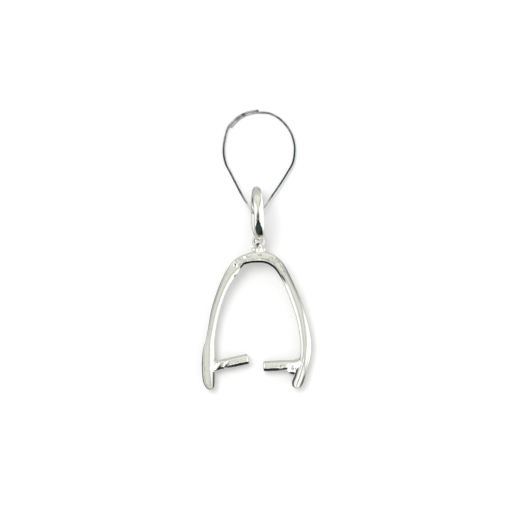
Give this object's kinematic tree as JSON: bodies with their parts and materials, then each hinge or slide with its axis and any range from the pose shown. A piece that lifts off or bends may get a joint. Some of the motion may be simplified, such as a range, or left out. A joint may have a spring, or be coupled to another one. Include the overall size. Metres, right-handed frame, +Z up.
{
  "type": "bail finding",
  "caption": "Bright silver pinch bail for a side-drilled drop: a ridged wishbone yoke with inward pins, an oval ring linked through its eye, and a loop of thin wire in the ring.",
  "frame": {"origin": "on the surface that the part lies on, under the middle of its box", "axes": "+X across the yoke to the right, +Y from the leaf tips towards the wire loop, +Z up"},
  "size_m": [0.0109, 0.028, 0.004],
  "materials": {
    "thin_wire": "dark coated wire with a satin gloss",
    "ring_silver": "bright silver, polished, slightly uneven from casting",
    "cast_silver": "bright silver, polished, ridged and softly uneven from casting"
  },
  "bodies": {
    "root": {"wire_loop": "thin_wire", "bail_ring": "ring_silver", "yoke": "cast_silver"}
  },
  "joints": []
}
